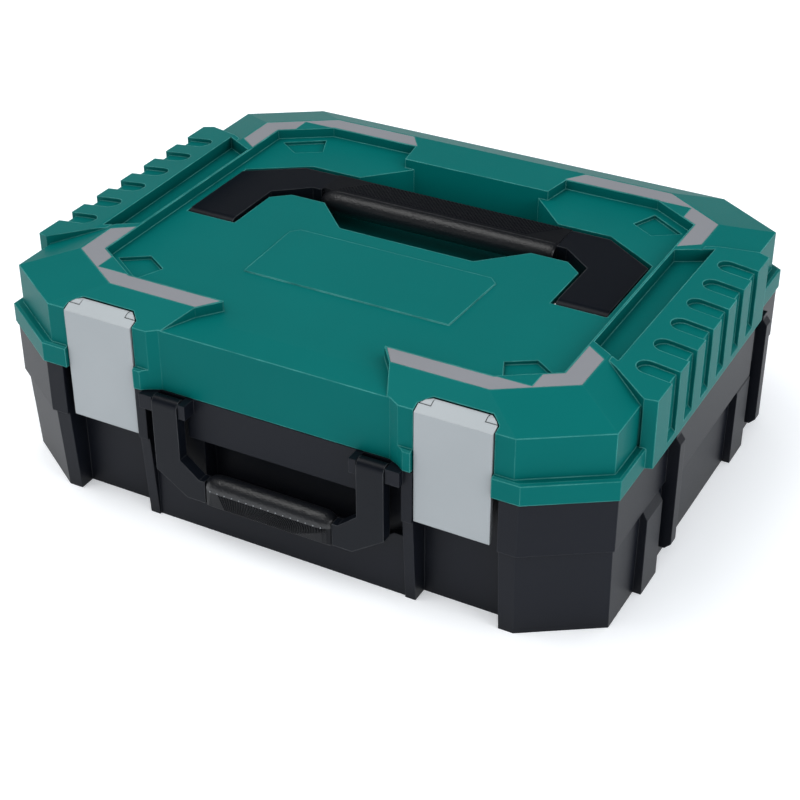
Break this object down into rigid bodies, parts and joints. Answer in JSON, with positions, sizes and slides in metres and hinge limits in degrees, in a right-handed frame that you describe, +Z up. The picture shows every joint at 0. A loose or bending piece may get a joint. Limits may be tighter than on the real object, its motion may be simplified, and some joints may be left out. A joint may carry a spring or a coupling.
{
  "type": "socket wrench set in case",
  "caption": "Socket wrench set in a moulded case with hinged lid, two draw latches, folding top and front handles, tool tray, ratchet, bars and sockets.",
  "frame": {"origin": "middle of the case's footprint on the floor", "axes": "+X to the case's right seen from the front, front towards -Y, +Z up"},
  "size_m": [0.444, 0.3635, 0.15],
  "materials": {
    "black_shell": "fine moulded grain",
    "green_shell": "fine moulded grain",
    "grey_inlay": "smooth satin",
    "latch_plastic": "satin",
    "steel_pin": "drawn wire",
    "handle_plastic": "fine moulded grain",
    "handle_grip": "diamond knurl",
    "tray_plastic": "vacuum-formed grain",
    "chrome": "polished plate",
    "tool_steel": "ground",
    "tool_grip": "satin"
  },
  "bodies": {
    "base": {"base_shell": "black_shell", "tool_tray": "tray_plastic", "rear_hinge_pin_left": "steel_pin", "rear_hinge_pin_right": "steel_pin", "front_handle_pin_left": "steel_pin", "front_handle_pin_right": "steel_pin", "ratchet_body": "chrome", "ratchet_grip": "tool_grip", "ratchet_cover": "chrome", "ratchet_cover_screws": "tool_steel", "ratchet_pawl": "tool_steel", "extension_bar_long": "chrome", "extension_bar_short": "chrome", "tee_bar": "chrome", "spinner_shaft": "chrome", "spinner_grip": "tool_grip", "socket_10": "chrome", "socket_11": "chrome", "socket_12": "chrome", "socket_13": "chrome", "socket_14": "chrome", "socket_15": "chrome", "socket_16": "chrome", "socket_17": "chrome", "socket_19": "chrome", "socket_21": "chrome", "socket_24": "chrome", "socket_27": "chrome", "socket_30": "chrome", "socket_32": "chrome", "deep_socket_14": "chrome", "deep_socket_17": "chrome", "deep_socket_19": "chrome", "deep_socket_22": "chrome"},
    "lid": {"lid_shell": "green_shell", "corner_stripe_front_left": "grey_inlay", "corner_stripe_front_right": "grey_inlay", "corner_stripe_back_left": "grey_inlay", "corner_stripe_back_right": "grey_inlay", "latch_pin_left": "steel_pin", "latch_pin_right": "steel_pin", "latch_bracket_left": "latch_plastic", "latch_bracket_right": "latch_plastic", "top_handle_pin_left": "steel_pin", "top_handle_pin_right": "steel_pin"},
    "latch_left": {"latch_left": "latch_plastic"},
    "latch_right": {"latch_right": "latch_plastic"},
    "top_handle": {"top_handle_frame": "handle_plastic", "top_handle_grip": "handle_grip"},
    "front_handle": {"front_handle_frame": "handle_plastic", "front_handle_grip": "handle_grip"},
    "ratchet_drive": {"ratchet_drive": "tool_steel"},
    "ratchet_lever": {"ratchet_lever": "tool_steel"},
    "ratchet_button": {"ratchet_release_button": "tool_steel"},
    "tee_head": {"tee_bar_head": "chrome"}
  },
  "joints": [
    {"name": "lid_hinge", "type": "hinge", "parent": "base", "child": "lid", "pos_m": [0, 0.1765, 0.099], "axis": [-1, 0, 0], "range_deg": [0, 105]},
    {"name": "latch_left_hinge", "type": "hinge", "parent": "lid", "child": "latch_left", "pos_m": [-0.1235, -0.1615, 0.1413], "axis": [-1, 0, 0], "range_deg": [0, 95]},
    {"name": "latch_right_hinge", "type": "hinge", "parent": "lid", "child": "latch_right", "pos_m": [0.1235, -0.1615, 0.1413], "axis": [-1, 0, 0], "range_deg": [0, 95]},
    {"name": "top_handle_hinge", "type": "hinge", "parent": "lid", "child": "top_handle", "pos_m": [0, -0.018, 0.13775], "axis": [1, 0, 0], "range_deg": [0, 90]},
    {"name": "front_handle_hinge", "type": "hinge", "parent": "base", "child": "front_handle", "pos_m": [0, -0.1735, 0.0945], "axis": [-1, 0, 0], "range_deg": [0, 90]},
    {"name": "ratchet_drive_spin", "type": "hinge", "parent": "base", "child": "ratchet_drive", "pos_m": [-0.164, -0.033, 0.068], "axis": [0, 0, 1], "continuous": true},
    {"name": "ratchet_lever_turn", "type": "hinge", "parent": "base", "child": "ratchet_lever", "pos_m": [-0.151, -0.033, 0.079], "axis": [0, 0, 1], "range_deg": [-25, 25]},
    {"name": "ratchet_button_press", "type": "slide", "parent": "ratchet_drive", "child": "ratchet_button", "axis": [0, 0, -1], "range_m": [0, 0.002], "stiffness_N_per_m": 300},
    {"name": "tee_head_slide", "type": "slide", "parent": "base", "child": "tee_head", "axis": [1, 0, 0], "range_m": [-0.09, 0.09]}
  ]
}
